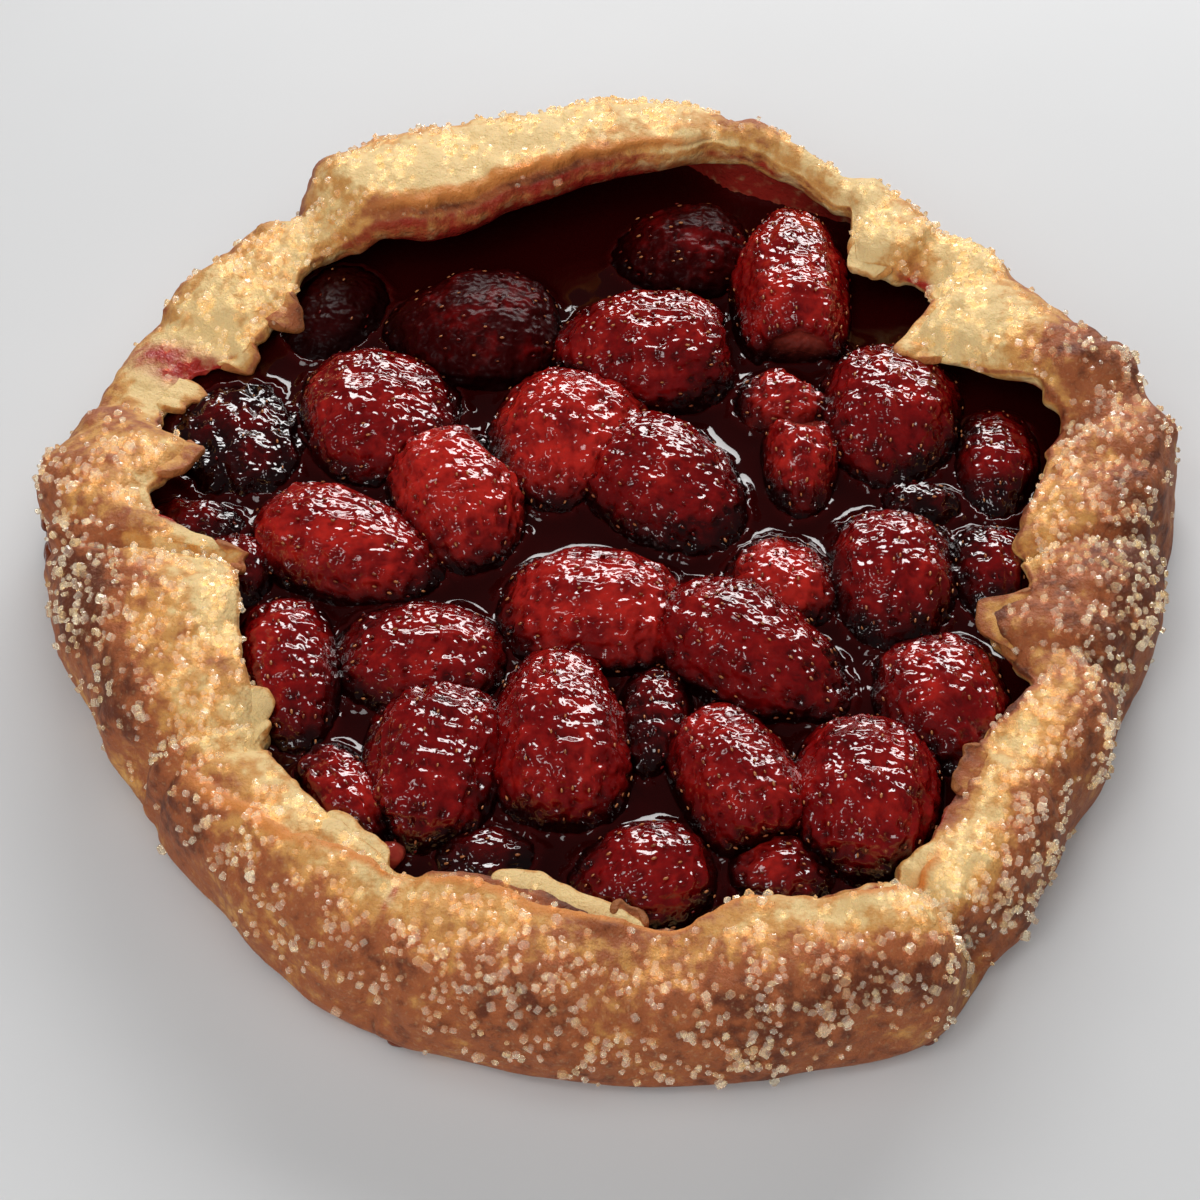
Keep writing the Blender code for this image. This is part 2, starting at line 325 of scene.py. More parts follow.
def soft_light(name, place, width, height, power, glints=True):
    """A window that faces the galette: place is its distance right, back and up in metres."""
    lamp = bpy.data.lights.new(name, "AREA")
    lamp.energy, lamp.shape, lamp.size, lamp.size_y = power, "RECTANGLE", width, height
    light = add_object(name, lamp)
    light.location = place
    light.rotation_euler = (-Vector(place)).to_track_quat("-Z", "Y").to_euler()
    light.visible_glossy = glints


soft_light("window", (0.20, 1.08, 0.58), 1.1, 0.42, 14.5)
soft_light("ceiling", (-0.1, -0.45, 1.5), 2.4, 2.4, 17.0, glints=False)
soft_light("room", (-0.5, -1.0, 0.5), 1.2, 1.2, 6.0, glints=False)
soft_light("lamp", (-0.35, -0.25, 0.90), 0.24, 0.24, 0.8)
world = bpy.data.worlds.new("room")
bpy.context.scene.world = world
world.use_nodes = True
world.node_tree.nodes["Background"].inputs["Color"].default_value = (0.95, 0.97, 1.0, 1.0)
world.node_tree.nodes["Background"].inputs["Strength"].default_value = 0.05
bpy.context.scene.view_settings.view_transform = "Standard"
print("camera, table and lights are set")

# %% [markdown]
# ## The crust
# The crust is a soft ring of folded dough: a smooth outer wall, a wide border that lies over the
# fruit, and a torn thin lip. Box modelling can't give its hundreds of small lumps, so it is lofted:
# the CAD solid is read as 120 sections of 15 points, finer sections are put between them with a
# smooth curve, and the relief of the dough is added along the surface's own normals.

# %% Read the sections of the CAD crust
SECTIONS = 120


def read_sections():
    """The CAD crust's points as an array of (section, level, xyz) in millimetres."""
    solid = bmesh.new()
    solid.from_mesh(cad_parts["crust"].data)
    bmesh.ops.remove_doubles(solid, verts=solid.verts, dist=1e-6)
    groups = [[] for _ in range(SECTIONS)]
    for vert in solid.verts:
        angle = degrees(atan2(vert.co.y / MM - POLE[1], vert.co.x / MM - POLE[0]))
        groups[round(angle % 360.0 * SECTIONS / 360.0) % SECTIONS].append(vert)
    sections = []
    for group in groups:
        members, chain = set(group), [min(group, key=lambda vert: vert.co.z)]
        while len(chain) < len(group):
            members.discard(chain[-1])
            near = [edge.other_vert(chain[-1]) for edge in chain[-1].link_edges]
            chain.append(next(vert for vert in near if vert in members))
        sections.append([tuple(vert.co / MM) for vert in chain])
    solid.free()
    return np.array(sections)


sections = read_sections()
print("crust sections:", sections.shape)

# %% Put finer sections between them
STATIONS = 900                          # finer sections round the crust
FOOT, SHOULDER, LIP, ROOF, WATERLINE, CORNER = 0, 4, 9, 11, 13, 14     # levels of a section
LIP_ROW = 58                            # the row of the fine grid whose places steer the torn lip
LEVEL_STEPS = ((FOOT, 1, 5), (1, SHOULDER, 20), (SHOULDER, 8, 38), (8, ROOF, 22),
               (ROOF, WATERLINE, 6), (WATERLINE, CORNER, 2))


def smooth_through(values, places, closed):
    """Values between the rows of an array, on a curve that passes through every row."""
    start = np.floor(places).astype(int)
    t = (places - start).reshape(-1, *[1] * (values.ndim - 1))
    rows = len(values)
    near = [values[(start + k) % rows if closed else np.clip(start + k, 0, rows - 1)]
            for k in (-1, 0, 1, 2)]
    before, here, after, last = near
    return 0.5 * (2 * here + (after - before) * t
                  + (2 * before - 5 * here + 4 * after - last) * t ** 2
                  + (3 * here - before - 3 * after + last) * t ** 3)


levels = np.concatenate([np.linspace(low, high, count, endpoint=False)
                         for low, high, count in LEVEL_STEPS] + [[float(CORNER)]])
fine = smooth_through(sections, np.arange(STATIONS) * SECTIONS / STATIONS, True)
fine = smooth_through(fine.transpose(1, 0, 2), levels, False).transpose(1, 0, 2)
ROWS = len(levels)
angle_of = np.repeat(np.arange(STATIONS) * 360.0 / STATIONS, ROWS)
level_of = np.tile(levels, STATIONS)
print("fine crust:", fine.shape)


def surface_normals(grid):
    """Outward normals of a grid of (station, row, xyz)."""
    along = np.roll(grid, -1, 0) - np.roll(grid, 1, 0)
    across = np.gradient(grid, axis=1)
    normals = np.cross(along, across)
    return normals / np.maximum(np.linalg.norm(normals, axis=2, keepdims=True), 1e-9)


# %% [markdown]
# The dough's relief comes in steps: broad swells, lumps, small blisters, then creases where one
# fold of dough lies on the next, and last the ragged lip. Places on the crust are named by their
# angle round the galette (0 right, 90 back) and their level, from 0 at the foot to 9 at the lip.

# %% Shape the dough
# A lap is the edge of an upper layer: (angle at the foot, angle at the lip, side that is on top,
# step in mm, how many degrees the step takes to die away, lowest level, highest level)
LAPS = ((214, 219, -1, 2.2, 14, 1, 10), (248, 249, 1, 1.2, 8, 1, 10), (308, 302, 1, 2.0, 10, 1, 10),
        (178, 190, -1, 2.2, 12, 3, 10), (127, 126, -1, 1.5, 8, 2, 10), (1, 354, 1, 1.6, 10, 4, 10),
        (24, 19, -1, 1.6, 8, 4, 10), (341, 338, 1, 1.4, 7, 4, 10), (230, 236, 1, 1.0, 9, 4, 9),
        (318, 322, -1, 0.9, 8, 3, 9), (48, 46, 1, 1.5, 6, 5, 10), (146, 148, -1, 0.9, 7, 3, 9))
LAP_EDGE = 0.8                          # degrees over which the step rises


# The ragged edge of an upper layer that runs round the border: (angle, level of the edge, step in mm)
RIDGE = ((74, 8.0, 0.0), (82, 7.9, 1.0), (95, 7.9, 1.3), (108, 7.7, 1.7), (118, 7.6, 1.2),
         (124, 8.0, 0.0), (216, 5.0, 0.0), (222, 5.4, 1.0), (230, 6.1, 1.4), (243, 7.4, 1.3),
         (248, 7.8, 0.5), (254, 7.6, 1.5), (266, 7.3, 1.7), (274, 7.8, 1.4), (281, 8.3, 0.9),
         (292, 8.4, 0.5), (297, 7.6, 1.2), (303, 7.1, 1.5), (309, 7.8, 0.0))
ridge_angle, ridge_level, ridge_step = np.array(RIDGE).T


def on_border(low=1.5, high=9.5):
    """1 on the part of the crust between two levels, fading over half a level."""
    return ease(low - 0.5, low + 0.5, level_of) * (1.0 - ease(high - 0.5, high + 0.5, level_of))


def lap_relief():
    """Height of the overlapping layers at every point of the crust."""
    total = np.zeros(len(angle_of))
    for foot, lip, side, step, fade, low, high in LAPS:
        across = turn_between(lip, foot) * np.clip(level_of / LIP, 0.0, 1.0) + foot
        past = side * turn_between(angle_of, across)
        edge = ease(-LAP_EDGE, LAP_EDGE, past) * (1.0 - ease(0.0, fade, past))
        groove = -0.45 * mound(past + 1.0, 1.6)
        total += step * (edge + groove) * on_border(low, high)
    return total


# Each as (height in mm, distance between bumps in mm, part of the noise)
SWELLS, LUMPS = ((1.0, 26.0, 3.0), (0.8, 11.0, 7.0)), ((0.50, 5.0, 1.0),)
SMALL_BUMPS, EDGE_WANDER = ((0.24, 2.6, 5.0), (0.10, 1.7, 9.0)), ((0.30, 9.0, 2.0), (0.16, 3.4, 5.0))
BLISTER_HEIGHT, RIPPLE_HEIGHT = 0.5, 0.15
points = fine.reshape(-1, 3).copy()
normals = surface_normals(fine).reshape(-1, 3)
edge_line = np.interp(angle_of, ridge_angle, ridge_level)
ragged = np.stack([angle_of * 1.9, level_of * 0.8, np.zeros(len(angle_of))], axis=1)
edge_line += layered(ragged, EDGE_WANDER)
layer_step = np.interp(angle_of, ridge_angle, ridge_step)
past_edge = level_of - edge_line        # levels beyond the edge, towards the lip
seen = on_border(0.6, 11.0)
relief = layered(points, SWELLS)
relief += layered(points, LUMPS) * on_border(2.0, 10.5)
relief += BLISTER_HEIGHT * ease(0.25, 0.6, unevenness(points, 4.2, 19.0)) * on_border(3.0, 9.5)
fine_relief = layered(points, SMALL_BUMPS)
ripples = np.stack([angle_of * 1.9, level_of * 1.1, np.zeros(len(angle_of))], axis=1)
fine_relief += RIPPLE_HEIGHT * ridged(ripples, 3.0, 13.0) * on_border(5.5, 9.4)
relief += fine_relief * on_border(1.0, 10.5)
relief *= 1.0 - 0.6 * ease(0.0, 0.3, past_edge) * np.clip(layer_step, 0.0, 1.0)
layers = ease(-2.2, -0.1, past_edge) * (1.0 - ease(-0.04, 0.13, past_edge))
layers = layer_step * (layers - 0.35 * mound(past_edge - 0.25, 0.35))
points += normals * (relief * seen + lap_relief() + layers)[:, None]
print("relief from", round(relief.min(), 2), "to", round(relief.max(), 2), "mm")

# %% Tear the lip
# The torn lip wanders in and out and its thin edge curls a little. Three of its corners are blunt.
# (angle, half width in degrees, millimetres towards the middle)
CORNERS = ((34.6, 1.8, -3.2), (39.4, 2.2, 3.4), (30.8, 2.2, 1.8), (338.7, 1.8, -3.2),
           (342.5, 2.2, 1.6), (54.0, 1.5, -2.2))
LIP_TEARS = ((1.5, 9.0, 11.0), (0.8, 4.0, 31.0), (0.3, 1.9, 17.0))
LIP_WAVES = ((0.9, 6.0, 41.0), (0.5, 2.4, 47.0))
CRISP_RISE = 0.6                        # the height of the crisp rim along the lip, in mm
inward = np.stack([-np.cos(np.radians(angle_of)), -np.sin(np.radians(angle_of)),
                   np.zeros(len(angle_of))], axis=1)
rim = fine[:, LIP_ROW:LIP_ROW + 1, :].repeat(ROWS, 1).reshape(-1, 3)
rim[:, 2] = 0.0
at_lip = mound(level_of - 9.0, 2.0)
tear = layered(rim, LIP_TEARS)
for corner, wide, amount in CORNERS:
    tear += amount * np.exp(-(turn_between(angle_of, corner) / wide) ** 2)
points += inward * (tear * at_lip)[:, None]
points[:, 2] += layered(rim, LIP_WAVES) * at_lip
crisp = mound(level_of - 8.55, 0.35)
points[:, 2] += CRISP_RISE * crisp * (0.6 + 0.4 * unevenness(rim, 3.0, 53.0))
points[:, 2] = np.maximum(points[:, 2], 0.0)
print("lip torn by up to", round(np.abs(tear).max(), 1), "mm")

# %% [markdown]
# The oven colours the dough: cream where it stayed damp or shaded, gold on most of it, brown on
# edges and crests, red where juice ran. These are painted on the points as patches, each an oval at
# an angle and a level, and the material adds the fine unevenness.

# %% Paint the bake and the shade on the near wall
# (angle, level, half width in degrees, half height in levels, amount)
BROWN = ((192, 4.8, 9, 1.4, 0.55), (198, 4.0, 8, 1.6, 0.35), (163, 5.6, 3, 1.5, 0.8),
         (167, 6.4, 3, 1.2, 0.5), (172, 8.9, 2, 0.7, 0.9), (177, 5.6, 6, 2.0, 0.35),
         (184, 6.6, 3, 1.2, 0.6), (189, 9.0, 2, 0.6, 0.5), (122, 3.0, 5, 2.2, 0.8),
         (118, 7.7, 4, 0.6, 0.5), (74, 5.6, 4, 1.4, 0.8), (68, 7.4, 5, 0.8, 0.4),
         (45, 7.4, 3, 0.9, 0.7), (22, 5.6, 4, 1.6, 0.9), (16, 6.0, 4, 1.6, 0.5),
         (57, 7.6, 4, 0.5, 0.4), (348, 7.6, 2, 0.8, 0.7), (342, 8.2, 4, 1.0, 0.7),
         (337, 7.0, 5, 1.6, 0.4), (327, 8.2, 3, 0.8, 0.9), (316, 8.2, 5, 0.9, 0.8),
         (311, 7.6, 4, 0.9, 0.6), (296, 4.8, 3, 1.0, 0.3), (299, 3.8, 3, 0.8, 0.2),
         (289, 5.4, 6, 1.6, 0.2), (285, 4.6, 8, 1.4, 0.15), (306, 4.6, 4, 1.4, 0.15),
         (4, 6.8, 18, 2.8, 0.70), (130, 7.0, 14, 1.6, 0.25), (209, 7.4, 4, 1.0, 0.6),
         (207, 4.4, 5, 1.4, 0.4),
         (217, 3.4, 6, 1.6, 0.4), (224, 5.6, 6, 1.2, 0.4), (235, 5.4, 9, 1.3, 0.15),
         (247, 5.4, 3, 1.5, 0.1), (262, 5.2, 10, 1.6, 0.2), (275, 6.4, 8, 1.2, 0.35),
         (354, 4.6, 5, 1.4, 0.5), (344, 5.8, 5, 1.2, 0.5), (330, 5.4, 4, 1.0, 0.4),
         (318, 5.0, 4, 1.0, 0.4), (102, 8.3, 7, 0.4, 0.5), (111, 7.9, 4, 0.5, 0.6),
         (92, 8.3, 10, 0.35, 0.5), (85, 6.6, 8, 0.8, 0.3),
         (350, 4.6, 12, 2.2, 0.30), (136, 5.4, 12, 2.2, 0.35), (272, 8.0, 15, 0.8, 0.55),
         (106, 7.85, 24, 0.45, 0.75), (322, 8.6, 12, 0.6, 0.8), (338, 8.5, 7, 0.7, 0.6),
         (266, 8.3, 17, 0.5, 0.60), (268, 7.5, 11, 1.0, 0.60), (189, 4.2, 8, 1.3, 0.40),
         (166, 8.6, 7, 0.7, 0.4), (296, 8.7, 8, 0.4, 0.4), (255, 8.7, 10, 0.35, 0.4),
         (108, 9.6, 25, 1.4, 0.30))
PALE = ((36, 7.2, 10, 2.2, 0.75), (55, 7.6, 7, 1.6, 0.5), (150, 6.0, 12, 2.5, 0.7),
        (132, 7.0, 7, 2.2, 0.7), (120, 6.0, 4, 1.4, 0.8), (110, 6.4, 8, 1.0, 0.7),
        (78, 8.2, 6, 0.6, 0.7), (158, 7.5, 4, 1.6, 1.0), (240, 8.4, 9, 0.9, 0.5),
        (264, 9.0, 9, 0.4, 0.5), (285, 8.8, 5, 0.5, 0.2), (357, 7.2, 4, 1.2, 0.3),
        (306, 5.5, 7, 1.8, 0.35),
        (303, 8.2, 5, 1.0, 0.4), (323, 8.6, 4, 0.8, 0.8), (6, 7.4, 6, 1.2, 0.1),
        (186, 8.6, 3, 0.6, 0.9), (200, 7.8, 12, 1.0, 0.5), (213, 9.0, 4, 0.6, 0.8),
        (220, 7.4, 5, 1.4, 0.4), (96, 5.8, 20, 1.4, 0.5), (332, 9.0, 2, 0.6, 0.6))
JUICE = ((153.5, 7.2, 3.4, 3.0, 1.0), (151, 9.0, 4, 1.2, 0.6), (183, 8.4, 2.2, 1.0, 0.9),
         (180, 9.0, 3, 0.6, 0.7), (246.5, 6.7, 0.6, 1.2, 0.7), (198, 9.2, 5, 0.4, 0.4),
         (318, 9.3, 8, 0.6, 0.6), (44, 8.6, 3, 0.7, 0.9), (298, 7.9, 2, 0.5, 0.6),
         (310, 9.0, 4, 0.7, 0.6), (346, 9.2, 3, 0.6, 0.6), (0, 9.3, 4, 0.4, 0.6),
         (12, 9.0, 3, 0.6, 0.6), (166, 9.0, 2, 0.7, 0.6), (70, 9.4, 12, 0.5, 0.7),
         (242, 9.3, 4, 0.4, 0.6), (304, 5.4, 1.5, 0.8, 0.3))


def patches(places):
    """Sum of the ovals in a list, at every point of the crust."""
    total = np.zeros(len(angle_of))
    for angle, level, wide, high, amount in places:
        across = turn_between(angle_of, angle) / wide
        total += amount * np.exp(-across ** 2 - ((level_of - level) / high) ** 2)
    return total


def ring_faces(stations, rows):
    """Quads of a grid that closes round, with outward faces."""
    faces = []
    for station in range(stations):
        here, there = station * rows, (station + 1) % stations * rows
        faces += [(here + row, there + row, there + row + 1, here + row + 1)
                  for row in range(rows - 1)]
    return faces


faces = ring_faces(STATIONS, ROWS)
faces.append(tuple(station * ROWS for station in reversed(range(STATIONS))))
faces.append(tuple(station * ROWS + ROWS - 1 for station in range(STATIONS)))
crust = make_piece("galette_crust", points, faces)
facing_front = 0.5 - 0.5 * np.sin(np.radians(angle_of))
facing_left = 0.5 - 0.5 * np.cos(np.radians(angle_of))
# Painted shade mixed with the bake: the low wall is browner all round, and browner still on the near side,
# which is turned from the window.
low_wall_bake_and_shade = 0.50 + 0.46 * facing_front - 0.25 * facing_left * facing_front
low_wall_bake_and_shade *= 1.0 - ease(3.0 + facing_front, 6.0 + facing_front, level_of)
crisp_edge = mound(past_edge + 0.12, 0.45) * layer_step
paint(crust, "brown", patches(BROWN) + 0.45 * mound(level_of - 8.7, 0.5) + low_wall_bake_and_shade)
paint(crust, "crisp", np.clip(crisp_edge, 0.0, 1.0))
paint(crust, "raised", np.clip(relief, -1.5, 1.5))
paint(crust, "pale", patches(PALE))
BACK, BACK_WIDTH = 104, 27               # the arch at the back, whose inside shows: angle, half width
at_back = np.exp(-(turn_between(angle_of, BACK) / BACK_WIDTH) ** 4)
past_lip = level_of - LIP
juice = patches(JUICE) + 0.95 * ease(0.0, 0.9, level_of - LIP - 0.6 - 1.2 * at_back)
soaked = (0.62 + 0.4 * ease(-0.3, 1.2, past_lip)) * at_back * ease(0.0, 0.4, past_lip + 0.8)
juice = np.maximum(juice, soaked)
paint(crust, "juice", np.clip(juice, 0.0, 1.0))
print("crust faces:", len(faces))

# %% [markdown]
# Baked dough is matt and slightly translucent. Its colour runs from cream through gold to brown, and
# the fine noise on top is what makes it look like flour and butter and not like clay.

# %% Crust finish
CREAM, GOLD = (0.80, 0.565, 0.255), (0.63, 0.305, 0.085)
TOAST, CHAR = (0.35, 0.10, 0.034), (0.13, 0.032, 0.013)
CRISP = (0.68, 0.25, 0.06)
JUICE_RED = (0.36, 0.024, 0.016)
crust_finish, wire = new_finish("baked_dough", Specular_IOR_Level=0.35, Subsurface_Weight=0.12,
                                Subsurface_Radius=(0.004, 0.002, 0.001), Subsurface_Scale=0.6)
BROAD_SHARE, MEDIUM_SHARE, TINY_SHARE = 0.9, 1.5, 0.35
PALE_SHARE, CREST_SHARE, WHOLE_BAKE = 0.8, 0.16, 0.18
broad, medium, tiny = wire.grain(14.0, 3.0), wire.grain(3.0, 3.0, shift=0.3), wire.grain(0.9, 2.0)
# The painted brown holds the bake and also the painted shade on the near wall.
bake_and_shade = wire.painted("brown") + (broad - 0.5) * BROAD_SHARE + (medium - 0.5) * MEDIUM_SHARE
bake_and_shade = bake_and_shade + (tiny - 0.5) * TINY_SHARE
bake_and_shade = bake_and_shade - wire.painted("pale") * PALE_SHARE + wire.painted("raised") * CREST_SHARE + WHOLE_BAKE
colour = bake_and_shade.step(0.0, 0.45).blend(CREAM, GOLD)
colour = bake_and_shade.step(0.4, 0.95).blend(colour, TOAST)
colour = bake_and_shade.step(0.95, 1.5).blend(colour, CHAR)
# Painted highlights: small pale flecks over the dough.
colour = (tiny.step(0.55, 0.8) * 0.25).blend(colour, (0.74, 0.52, 0.28))
colour = (wire.painted("crisp") * (0.4 + medium)).clamp().blend(colour, CRISP)
stain = (wire.painted("juice") * (0.3 + 1.4 * medium)).clamp().step(0.12, 0.95)
colour = stain.blend(colour, JUICE_RED)
lumps = wire.grain(1.6, 4.0, 0.6, 0.7)
surface = wire.bump(lumps, 0.62)
surface = wire.bump(wire.grain(0.55, 2.0), 0.22, surface)
feed(crust_finish, Base_Color=colour, Roughness=0.62 - stain * 0.42, Normal=surface)
crust.data.materials.append(crust_finish)
settle(crust, "pastry", "crust")

# %% [markdown]
# Where the dough tore, thin flaps hang over the fruit: pale where steam kept them soft, brown at
# their tips. Each is a small sheet that leaves the border a little before the lip, droops and may
# curl up again. A Solidify modifier gives it its thickness.

# %% Torn flaps
# (angle, half width in degrees, level of the root, length, droop, curl, brown, pale)
FLAPS = ((140.0, 2.6, 8.7, 4.6, 3.4, 0.5, 1.1, 0.0), (148.3, 2.4, 8.8, 3.0, 2.6, 0.3, 0.6, 0.2),
         (157.5, 2.8, 8.4, 6.0, 1.6, 0.0, 0.5, 0.6), (171.5, 3.6, 8.5, 3.4, 1.7, 0.7, 0.7, 0.0),
         (189.5, 2.2, 8.7, 3.2, 1.2, 0.6, 0.8, 0.1), (215.5, 3.4, 8.7, 3.6, 1.4, 0.4, 0.2, 0.7),
         (239, 5.0, 8.8, 2.0, 1.0, 0.0, 0.3, 0.6), (265, 9.0, 8.7, 2.6, 0.8, 0.0, 0.2, 0.8),
         (272.3, 1.8, 8.8, 4.0, 0.8, 1.6, 1.0, 0.1), (317, 3.2, 8.5, 3.2, 0.8, 0.5, 1.0, 0.0),
         (341.0, 5.0, 8.7, 3.4, 1.4, 0.8, 1.0, 0.0),
         (35, 5.0, 8.7, 2.6, 1.2, 0.4, 0.6, 0.3), (51.2, 3.4, 8.8, 2.8, 3.6, 1.4, 0.25, 0.8))
FLAP_ROWS, FLAP_COLUMNS, FLAP_THICKNESS, FLAP_ROOT = 9, 22, 1.8, 1.8
border = points.reshape(STATIONS, ROWS, 3)


def on_crust(level, turns):
    """Points of the shaped crust at a level and at angles in degrees."""
    row = int(np.argmin(np.abs(levels - level)))
    return smooth_through(border[:, row], (np.asarray(turns) % 360.0) * STATIONS / 360.0, True)


def make_flap(number, angle, half_width, root_level, length, droop, curl, brown, pale):
    """One torn flap as an object of its own."""
    across = np.linspace(-1.0, 1.0, FLAP_COLUMNS)
    turns = angle + half_width * across
    root = on_crust(root_level, turns)
    inward = -np.stack([np.cos(np.radians(turns)), np.sin(np.radians(turns)), 0.0 * turns], axis=1)
    edge = (1.0 - np.abs(across) ** 3.6) ** 0.5
    edge *= 1.0 + 0.5 * unevenness(root, 4.5, number * 3.7) + 0.2 * unevenness(root, 2.0, number)
    sheet, out = [], []
    for along in np.linspace(0.0, 1.0, FLAP_ROWS):
        run = inward * (along * edge * length - FLAP_ROOT * (1.0 - along) * np.sign(length))[:, None]
        rise = 0.35 - droop * along ** 2 * edge + curl * along ** 4 - 0.9 * (1.0 - along) ** 2
        wave = 0.4 * unevenness(root + run, 3.0, number * 1.3) * along
        sheet.append(root + run + np.outer(rise + wave, (0.0, 0.0, 1.0)))
        out.append(np.full(FLAP_COLUMNS, along))
    faces = [(a, a + 1, a + FLAP_COLUMNS + 1, a + FLAP_COLUMNS)
             for row in range(FLAP_ROWS - 1)
             for a in range(row * FLAP_COLUMNS, row * FLAP_COLUMNS + FLAP_COLUMNS - 1)]
    flap = make_piece(f"flap_{number}", np.concatenate(sheet), faces)
    out = np.concatenate(out)
    paint(flap, "brown", brown * (0.45 + 0.55 * ease(0.3, 1.0, out)) + 0.3 * ease(0.7, 1.0, out))
    paint(flap, "pale", pale * (1.0 - 0.4 * ease(0.6, 1.0, out)))
    paint(flap, "crisp", 0.35 * ease(0.75, 1.0, out))
    for name in ("juice", "raised"):
        paint(flap, name, np.zeros(len(out)))
    apply_modifier(flap, "SOLIDIFY", thickness=FLAP_THICKNESS * MM, offset=0.0)
    apply_modifier(flap, "SUBSURF", levels=1, render_levels=1)
    return flap


torn = join_pieces("torn_flaps", [make_flap(number, *flap) for number, flap in enumerate(FLAPS)])
torn.data.materials.append(crust_finish)
settle(torn, "pastry")
print("flaps:", len(FLAPS), "faces:", len(torn.data.polygons))

# %% [markdown]
# ## The strawberries
# Each piece of fruit is a strawberry cut in half and laid skin side up, slumped against its
# neighbours. It starts as a cube that is subdivided and made round, which spreads its faces evenly.
# The ball is drawn out along the fruit, shrink-wrapped onto the CAD solid and smoothed, so that it
# keeps the solid's outline and the flats where it presses on the next piece, with soft edges.

# %% What each strawberry looks like
# number: (heading of the tip in degrees, brightness from 0 to 1 as own tone plus painted light and shade,
# wrinkles from 0 to 2)
FRUIT_LOOKS = {
    1: (250, -0.35, 0.6), 2: (180, -0.3, 0.9), 3: (180, -0.2, 0.9), 4: (92, 0.50, 0.8),
    5: (15, 0.42, 0.8), 6: (180, 0.32, 1.0), 7: (250, 0.80, 0.7), 8: (310, 0.34, 0.7),
    9: (285, 0.80, 0.6), 10: (180, 0.85, 0.6), 11: (270, 0.70, 0.6), 12: (262, 0.32, 1.0),
    13: (265, 0.42, 0.7), 14: (100, 0.10, 2.2), 15: (350, 0.50, 1.4), 16: (280, 0.50, 1.2),
    17: (336, 0.66, 0.5), 18: (180, 0.66, 0.9), 19: (90, 0.92, 0.7), 20: (322, 0.30, 0.8),
    21: (265, 0.46, 1.0), 22: (0, 0.26, 0.9), 23: (268, 0.12, 1.1), 24: (175, 0.46, 0.6),
    25: (281, 0.46, 0.8), 26: (262, 0.28, 1.0), 27: (92, 0.46, 0.5), 28: (270, 0.05, 0.6),
    29: (114, 0.48, 0.6), 30: (262, 0.36, 0.9), 31: (285, 0.52, 0.9), 32: (200, 0.40, 0.6),
    33: (350, 0.62, 0.8), 34: (300, 0.55, 1.1), 35: (10, 0.50, 1.1)}
# number: cut or bruised places, each as (direction along the tip, to its left and up, share of the
# reach that way where it starts)
CUT_FACES = {4: (((-1.0, 0.0, 0.25), 0.86),), 6: (((-1.0, -0.1, 0.15), 0.90),),
             9: (((-0.35, 0.75, 0.55), 0.86),), 10: (((-0.5, -0.6, 0.6), 0.80),),
             11: (((-0.6, 0.1, 0.8), 0.86),), 33: (((-0.6, 0.75, 0.5), 0.80),),
             17: (((0.1, 0.85, 0.5), 0.92),), 18: (((-0.3, -0.85, 0.4), 0.92),)}
CUT_FLATNESS = 0.75                     # share of what stands past a cut that is taken away
FRUIT_MESH = 0.50                       # distance between points on the skin
LOOSE_FIT = 1.15                        # the ball is this much larger before it is wrapped
SOFTENING = 14                          # rounds of smoothing, which round the pressed edges

# %% Wrap a ball onto a CAD solid


def fruit_plan(number):
    """How a strawberry lies, measured on its CAD solid: its directions, middle and half sizes."""
    heading = radians(FRUIT_LOOKS[number][0])
    solid = points_of(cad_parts[f"strawberry_{number:02d}"].data)
    ahead = np.array((cos(heading), sin(heading), 0.0))
    left = np.array((-sin(heading), cos(heading), 0.0))
    along, across = solid @ ahead, solid @ left
    middle = ahead * (along.max() + along.min()) / 2 + left * (across.max() + across.min()) / 2
    middle[2] = solid[:, 2].min()
    return {"frame": np.stack([ahead, left, np.array((0.0, 0.0, 1.0))]), "middle": middle,
            "length": np.ptp(along) / 2, "width": np.ptp(across) / 2, "height": np.ptp(solid[:, 2])}


def wrap_ball(number, plan):
    """A ball of even faces wrapped onto the CAD solid. Returns it and its points on the unit ball."""
    size = np.array((plan["length"], plan["width"], plan["height"]))
    deselect()
    bpy.ops.mesh.primitive_cube_add(size=2.0)
    bpy.ops.object.mode_set(mode="EDIT")
    bpy.ops.mesh.select_all(action="SELECT")
    bpy.ops.mesh.subdivide(number_cuts=max(8, round(2.0 * pi * size.mean() / FRUIT_MESH / 4.0)))
    bpy.ops.transform.tosphere(value=1.0)
    bpy.ops.mesh.bisect(plane_co=(0, 0, -0.3), plane_no=(0, 0, 1), clear_inner=True, use_fill=True)
    bpy.ops.object.mode_set(mode="OBJECT")
    piece = bpy.context.object
    piece.name = piece.data.name = f"roasted_strawberry_{number:02d}"
    ball = points_of(piece.data) * MM
    write_points(piece.data, plan["middle"] + (ball * size * LOOSE_FIT) @ plan["frame"])
    apply_modifier(piece, "SHRINKWRAP", target=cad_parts[f"strawberry_{number:02d}"])
    apply_modifier(piece, "SMOOTH", factor=0.5, iterations=SOFTENING)
    return piece, ball


def make_cuts(skin, number, plan):
    """Flatten the cut places. Returns how much of each point lies on one."""
    cut = np.zeros(len(skin))
    for direction, share in CUT_FACES.get(number, ()):
        facing = np.array(direction) @ plan["frame"]
        facing /= np.linalg.norm(facing)
        reach = (skin - plan["middle"]) @ facing
        beyond = np.maximum(reach - reach.max() * share, 0.0)
        skin -= facing * (beyond * CUT_FLATNESS)[:, None]
        cut = np.maximum(cut, ease(0.1, 1.2, beyond))
    return cut


# %% [markdown]
# Seeds sit in staggered rows round a strawberry, nearly 3 mm apart. Their places are worked out on the
# ball first, so that they follow the fruit's form. The skin sinks a little under each seed and
# swells between them, and the roasting has wrinkled it along the fruit.

# %% Rows of seeds
SEED_SPACING = 2.8                      # from one seed to the next, in mm
dice = np.random.default_rng(11)


